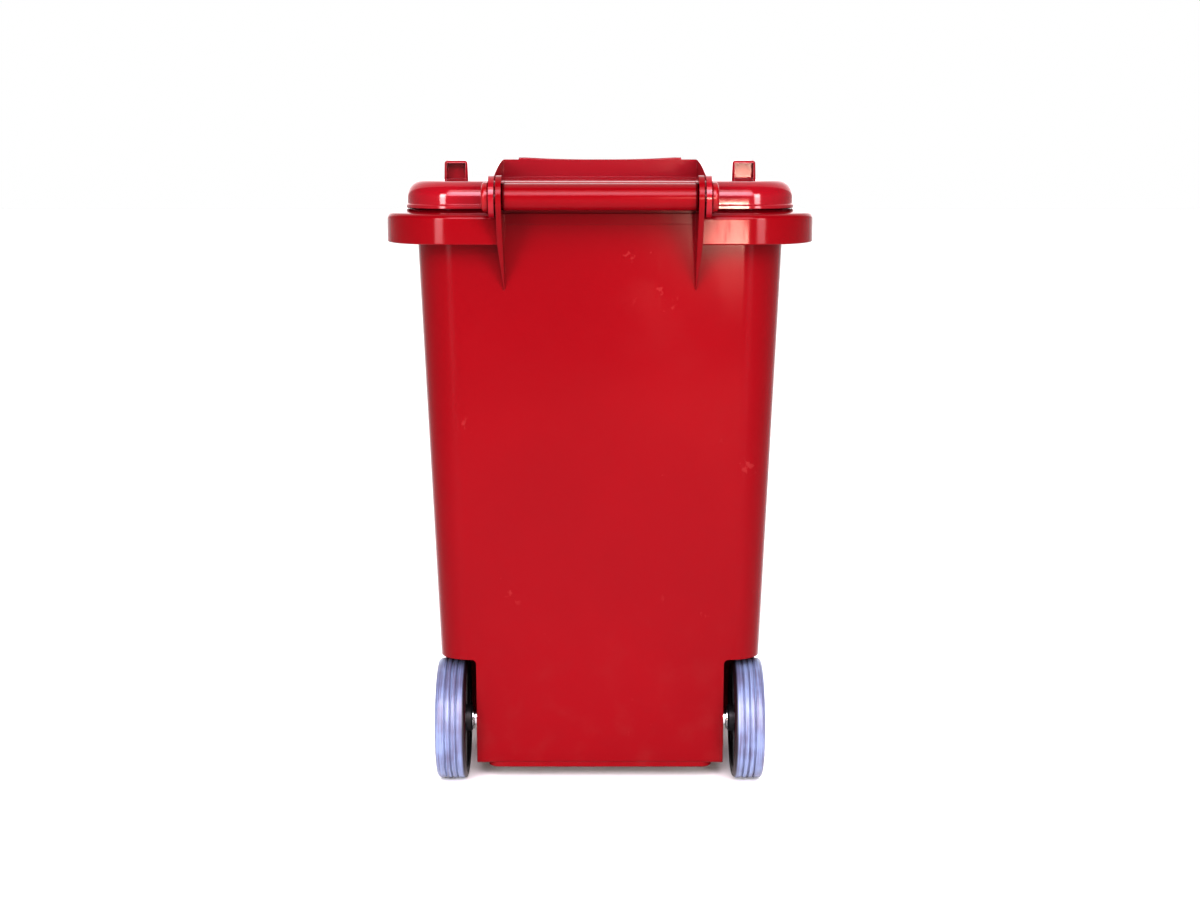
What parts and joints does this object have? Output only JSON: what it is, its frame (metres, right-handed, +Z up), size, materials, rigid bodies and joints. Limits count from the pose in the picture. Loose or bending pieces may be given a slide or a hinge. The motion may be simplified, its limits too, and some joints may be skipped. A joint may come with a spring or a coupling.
{
  "type": "wheelie bin",
  "caption": "Small household wheeled refuse bin with a tapered moulded tub, tubular rear handle, hinged domed lid with hollow middle, and rubber-tyred wheels on a steel axle.",
  "frame": {"origin": "middle of the footprint at ground level", "axes": "+Z up; +Y to the rear, where the handle and the wheels are; +X to the left of a person who stands behind the bin and pushes it"},
  "size_m": [0.428, 0.4765, 0.6462],
  "materials": {
    "tub_red": "moulded, softly glossy",
    "lid_red": "moulded, glossy",
    "pin_red": "moulded, softly glossy",
    "tyre_grey": "blue-grey moulded rubber",
    "hub_black": "satin black",
    "bush_white": "natural nylon",
    "steel": "bright zinc plated"
  },
  "bodies": {
    "bin": {"tub": "tub_red", "axle": "steel", "hinge_pin_left": "pin_red", "axle_spacer_left": "steel", "inner_washer_left": "steel", "outer_washer_left": "steel", "axle_retainer_left": "steel", "hinge_pin_right": "pin_red", "axle_spacer_right": "steel", "inner_washer_right": "steel", "outer_washer_right": "steel", "axle_retainer_right": "steel"},
    "lid": {"lid": "lid_red"},
    "wheel_left": {"tyre_left": "tyre_grey", "wheel_hub_left": "hub_black", "hub_bush_left": "bush_white", "hub_cap_left": "hub_black"},
    "wheel_right": {"tyre_right": "tyre_grey", "wheel_hub_right": "hub_black", "hub_bush_right": "bush_white", "hub_cap_right": "hub_black"}
  },
  "joints": [
    {"name": "lid_hinge", "type": "hinge", "parent": "bin", "child": "lid", "pos_m": [0, 0.21775, 0.6105], "axis": [-1, 0, 0], "range_deg": [0, 250]},
    {"name": "wheel_left_spin", "type": "hinge", "parent": "bin", "child": "wheel_left", "pos_m": [0.154, 0.12675, 0.0625], "axis": [1, 0, 0], "continuous": true},
    {"name": "wheel_right_spin", "type": "hinge", "parent": "bin", "child": "wheel_right", "pos_m": [-0.154, 0.12675, 0.0625], "axis": [1, 0, 0], "continuous": true}
  ]
}
